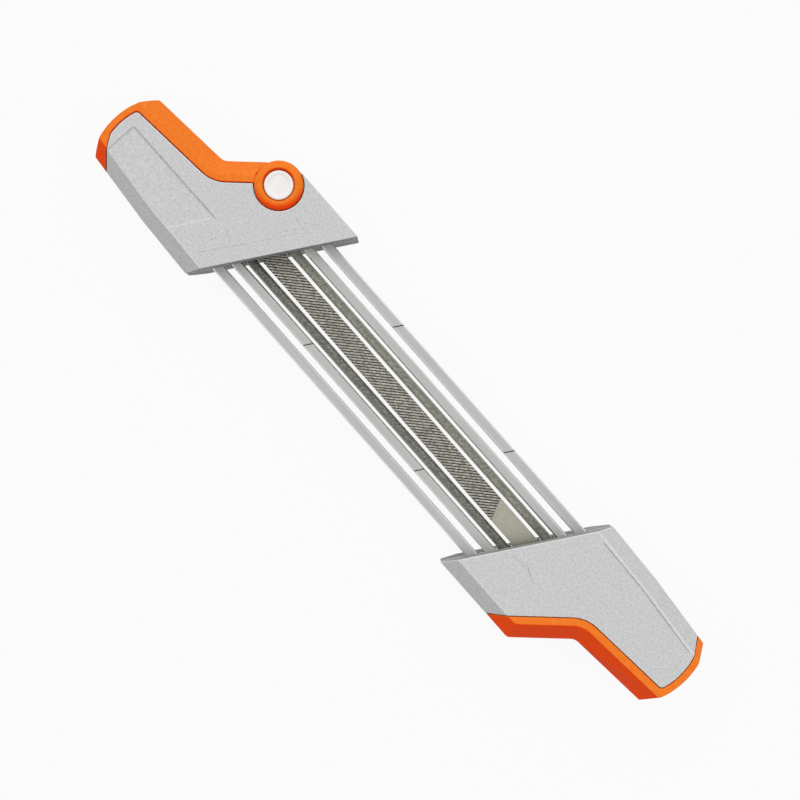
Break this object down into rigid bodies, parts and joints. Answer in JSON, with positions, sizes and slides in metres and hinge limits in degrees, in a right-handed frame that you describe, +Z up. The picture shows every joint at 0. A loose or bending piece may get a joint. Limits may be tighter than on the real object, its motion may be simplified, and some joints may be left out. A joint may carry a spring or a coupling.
{
  "type": "saw chain filing guide",
  "caption": "Hand filing guide for a saw chain: round files and a flat file between steel guide rails in two offset handles, with a swinging latch lever on a lift-off cover.",
  "frame": {"origin": "middle of the tool's length and width, on the plane of the handles' undersides", "axes": "+X along the files from the latch handle to the fixed handle, +Y across towards the pivot's side, +Z up through the handles' top faces"},
  "size_m": [0.32, 0.0618, 0.0269],
  "materials": {
    "grey_plastic": "fine textured moulding with a faint metallic mottle",
    "orange_plastic": "satin moulding",
    "white_plastic": "smooth",
    "black_nylon": "moulded",
    "black_rubber": "moulded",
    "rail_steel": "satin drawn flat steel",
    "file_steel": "hardened, with cut teeth",
    "plated_steel": "zinc plated"
  },
  "bodies": {
    "frame": {"fixed_handle_bottom_shell": "grey_plastic", "fixed_handle_top_shell": "grey_plastic", "latch_handle_base": "grey_plastic", "fixed_grip_band": "orange_plastic", "fixed_file_seat": "black_nylon", "latch_file_seat": "black_nylon", "left_outer_guide_rail": "rail_steel", "left_inner_guide_rail": "rail_steel", "right_inner_guide_rail": "rail_steel", "right_outer_guide_rail": "rail_steel", "left_round_file": "file_steel", "right_round_file": "file_steel", "flat_file": "file_steel", "fixed_pin_left_inner": "plated_steel", "fixed_pin_left_outer": "plated_steel", "fixed_pin_right_inner": "plated_steel", "fixed_pin_right_outer": "plated_steel", "latch_pin_left_inner": "plated_steel", "latch_pin_left_outer": "plated_steel", "latch_pin_right_inner": "plated_steel", "latch_pin_right_outer": "plated_steel", "fixed_handle_screw_heel": "plated_steel", "fixed_handle_screw_shoulder": "plated_steel", "fixed_handle_screw_grip": "plated_steel", "latch_clamp_screw_left": "plated_steel", "latch_clamp_screw_right": "plated_steel", "latch_rail_clamp_left": "plated_steel", "latch_rail_clamp_right": "plated_steel"},
    "latch_cover": {"latch_handle_cover": "grey_plastic", "file_pressure_pad": "black_rubber", "pivot_pin": "white_plastic", "pivot_washer": "plated_steel", "pivot_retaining_clip": "plated_steel"},
    "latch_lever": {"latch_lever": "orange_plastic"}
  },
  "joints": [
    {"name": "latch_cover_lift", "type": "slide", "parent": "frame", "child": "latch_cover", "axis": [0, 0, 1], "range_m": [0, 0.04]},
    {"name": "latch_lever_swing", "type": "hinge", "parent": "latch_cover", "child": "latch_lever", "pos_m": [-0.0963, 0.0208, 0.023], "axis": [0, 0, -1], "range_deg": [0, 80]}
  ]
}
